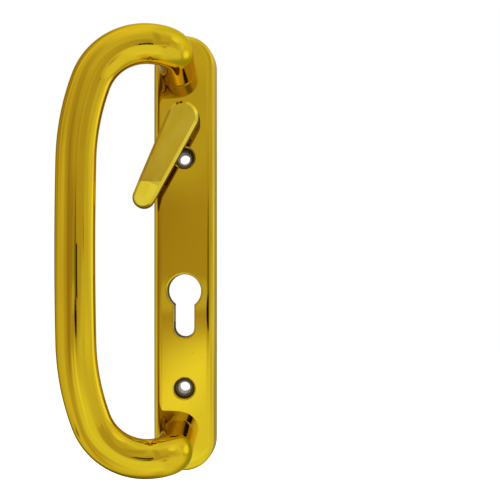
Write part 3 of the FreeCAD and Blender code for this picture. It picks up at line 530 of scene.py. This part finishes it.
# A row for each card: the azimuth and elevation of its middle and its turn, in degrees; half its width and half
# its height, as seen from the tent's centre; how sharp its edge is; its red light, and green and blue as a share.
tent_cards = (
    (-69, 39, -14, 0.82, 0.67, 4.5, 0.40, 0.75),
    (38, 87, 5, 1.11, 0.55, 1.3, 0.96, 0.99),
    (-7, -56, 33, 0.78, 0.88, 1.2, 0.97, 1.03),
    (109, 53, -12, 0.15, 0.96, 1.3, 0.87, 1.04),
    (83, -26, -16, 0.52, 0.35, 4.6, 0.77, 1.02),
    (127, -1, 0, 0.30, 0.22, 2.8, 1.04, 1.07),
    (166, -18, -25, 0.56, 0.70, 4.4, 0.35, 1.15),
    (29, 32, 95, 0.50, 0.15, 1.7, 0.48, 0.93),
    (37, -20, -61, 0.14, 0.30, 4.5, 0.43, 0.72),
    (-18, -16, -25, 0.31, 0.69, 2.0, 0.46, 0.85),
    (-33, 1, 8, 0.35, 0.85, 1.4, 0.34, 0.73),
    (20, 1, 18, 0.74, 0.20, 4.7, 0.51, 0.87),
    (6, -32, 5, 0.66, 0.38, 4.4, 0.81, 1.06),
    (-58, -38, 71, 1.25, 0.17, 1.2, 0.52, 0.87),
    (-4, -12, 60, 0.16, 0.07, 1.4, 1.10, 1.07),
    (-3, 0, -16, 0.32, 0.14, 3.0, 0.36, 0.75),
    (2, 4, -40, 0.13, 0.41, 1.5, 0.45, 0.84),
    (-4, 17, 84, 0.12, 0.07, 5.0, 0.52, 0.91),
    (-96, -36, 3, 0.15, 0.06, 1.7, 0.25, 0.92),
    (-84, 89, -8, 0.12, 1.02, 1.4, 0.84, 1.00),
    (-6, -24, -14, 0.38, 0.03, 2.6, 0.88, 1.13),
    (56, 3, 80, 0.03, 0.05, 0.7, 0.24, 0.75),
    (-134, -60, -61, 0.65, 0.20, 2.0, 0.68, 1.03),
    (-17, -17, -56, 0.12, 0.12, 2.6, 0.78, 0.96),
    (131, 59, 34, 0.25, 0.69, 2.3, 0.69, 1.06),
    (-149, -22, -10, 0.37, 0.95, 3.3, 0.18, 0.77),
    (85, 35, -38, 0.20, 0.21, 2.9, 0.94, 1.07),
    (-105, 25, -10, 0.05, 0.64, 3.9, 0.34, 0.74),
    (-4, -4, 3, 0.14, 0.035, 4.0, 0.56, 0.96),
    (8, 0, 0, 0.08, 0.15, 3.0, 0.16, 1.00),
    (7, -6, 0, 0.12, 0.04, 6.0, 0.01, 1.00),
)


def card():
    """A soft card in the tent: exp(-(a^2 + b^2)^edge) of the direction's parts a and b along its two sides."""
    group, given, out = new_group(
        "card",
        [("Direction", "vector"), ("Behind", "colour"), ("Aim", "vector"), ("Across", "vector"), ("Up", "vector"),
         ("Edge", "value"), ("Light", "colour")],
        [("Light", "colour")],
    )

    def part(side):
        return node(group, "VectorMath", {0: given["Direction"], 1: given[side]}, operation="DOT_PRODUCT").outputs[1]

    a, b = part("Across"), part("Up")
    far = maths(group, "ADD", maths(group, "MULTIPLY", a, a), maths(group, "MULTIPLY", b, b))
    fall = maths(group, "EXPONENT", maths(group, "MULTIPLY", maths(group, "POWER", far, given["Edge"]), -1.0))
    share = maths(group, "MULTIPLY", fall, ramp(group, part("Aim"), -0.125, 0.125))
    feed(group, out, {"Light": blend(group, share, given["Behind"], given["Light"])})
    return group


CARD = card()


def glowing(name):
    """A material that only gives out light; returns it with its node tree and its emission shader."""
    made = bpy.data.materials.new(name)
    made.use_nodes = True
    tree = made.node_tree
    tree.nodes.clear()
    glow = node(tree, "Emission", {"Strength": 1.0})
    node(tree, "OutputMaterial", {0: glow.outputs[0]})
    return made, tree, glow


def for_mirrors_only(piece, material):
    """Leaves a stage piece to be seen in reflections alone."""
    piece.visible_camera = piece.visible_diffuse = piece.visible_transmission = False
    piece.visible_volume_scatter = piece.visible_shadow = False
    piece.data.materials.append(material)


world = bpy.data.worlds.new("white_room")
bpy.context.scene.world = world
world.use_nodes = True
tree = world.node_tree
tree.nodes.clear()
rays = node(tree, "LightPath").outputs
seen = maths(tree, "MAXIMUM", rays["Is Camera Ray"], rays["Is Glossy Ray"], rays["Is Transmission Ray"])
back = node(tree, "Background", {"Color": (1, 1, 1, 1), "Strength": maths(tree, "MAXIMUM", seen, 0.55)})
node(tree, "OutputWorld", {0: back.outputs[0]})

bpy.ops.mesh.primitive_uv_sphere_add(segments=96, ring_count=48, radius=tent_r, location=tent_centre)
tent = bpy.context.object
tent.name = "tent"
cloth, tree, glow = glowing("tent_cloth")
direction = node(tree, "VectorMath", {0: own_place(tree)}, operation="NORMALIZE").outputs[0]
light = (*tent_cloth, 1)
for azimuth, elevation, turn, wide, tall, edge, red, share in tent_cards:
    a, e, t = np.radians([azimuth, elevation, turn])
    aim = np.array([np.sin(a) * np.cos(e), -np.cos(a) * np.cos(e), np.sin(e)])
    right = np.array([np.cos(a), np.sin(a), 0.0])
    above = np.array([-np.sin(a) * np.sin(e), np.cos(a) * np.sin(e), np.cos(e)])
    light = placed(tree, CARD, {
        "Direction": direction, "Behind": light, "Aim": aim,
        "Across": (right * np.cos(t) + above * np.sin(t)) / wide,
        "Up": (above * np.cos(t) - right * np.sin(t)) / tall,
        "Edge": edge, "Light": (red, red * share, red * share, 1),
    })["Light"]
feed(tree, glow, {"Color": light})
cloth.cycles.emission_sampling = "NONE"
for_mirrors_only(tent, cloth)

# the dark camera body beside the lens, which only the polished metal mirrors
bpy.ops.mesh.primitive_cube_add(size=1.0, location=(0.089, -0.43, -0.009), scale=(0.040, 0.020, 0.048))
camera_body = bpy.context.object
camera_body.name = "camera_body"
black, tree, glow = glowing("camera_black")
feed(tree, glow, {"Color": (0.01, 0.01, 0.01, 1)})
for_mirrors_only(camera_body, black)

bpy.ops.mesh.primitive_plane_add(size=6.0, location=(0, 0, -0.35))
floor = bpy.context.object
floor.name = "floor"
floor.visible_glossy = False
pale, tree, shader = new_material("pale_floor")
feed(tree, shader, {
    "Base Color": (0.8, 0.8, 0.8, 1),
    "Roughness": 0.9,
    "Emission Color": (1, 1, 1, 1),
    "Emission Strength": maths(tree, "MULTIPLY", node(tree, "LightPath").outputs["Is Camera Ray"], 0.62),
})
floor.data.materials.append(pale)


def lamp(name, place, size, watts):
    """A soft square lamp that faces the middle of the handle."""
    light = bpy.data.lights.new(name, "AREA")
    light.size = size
    light.energy = watts
    made = bpy.data.objects.new(name, light)
    made.location = place
    made.rotation_euler = made.location.to_track_quat("Z", "Y").to_euler()
    made.visible_glossy = False
    bpy.context.scene.collection.objects.link(made)


lamp("key", (0.5, -0.9, 0.7), 0.8, 9.0)
lamp("fill", (-0.9, -0.7, 0.1), 0.9, 5.0)
lamp("back", (0.3, 0.9, 0.6), 0.9, 6.0)

bpy.context.scene.view_settings.view_transform = "Standard"
bpy.context.scene.cycles.max_bounces = 20
bpy.context.scene.cycles.glossy_bounces = 20
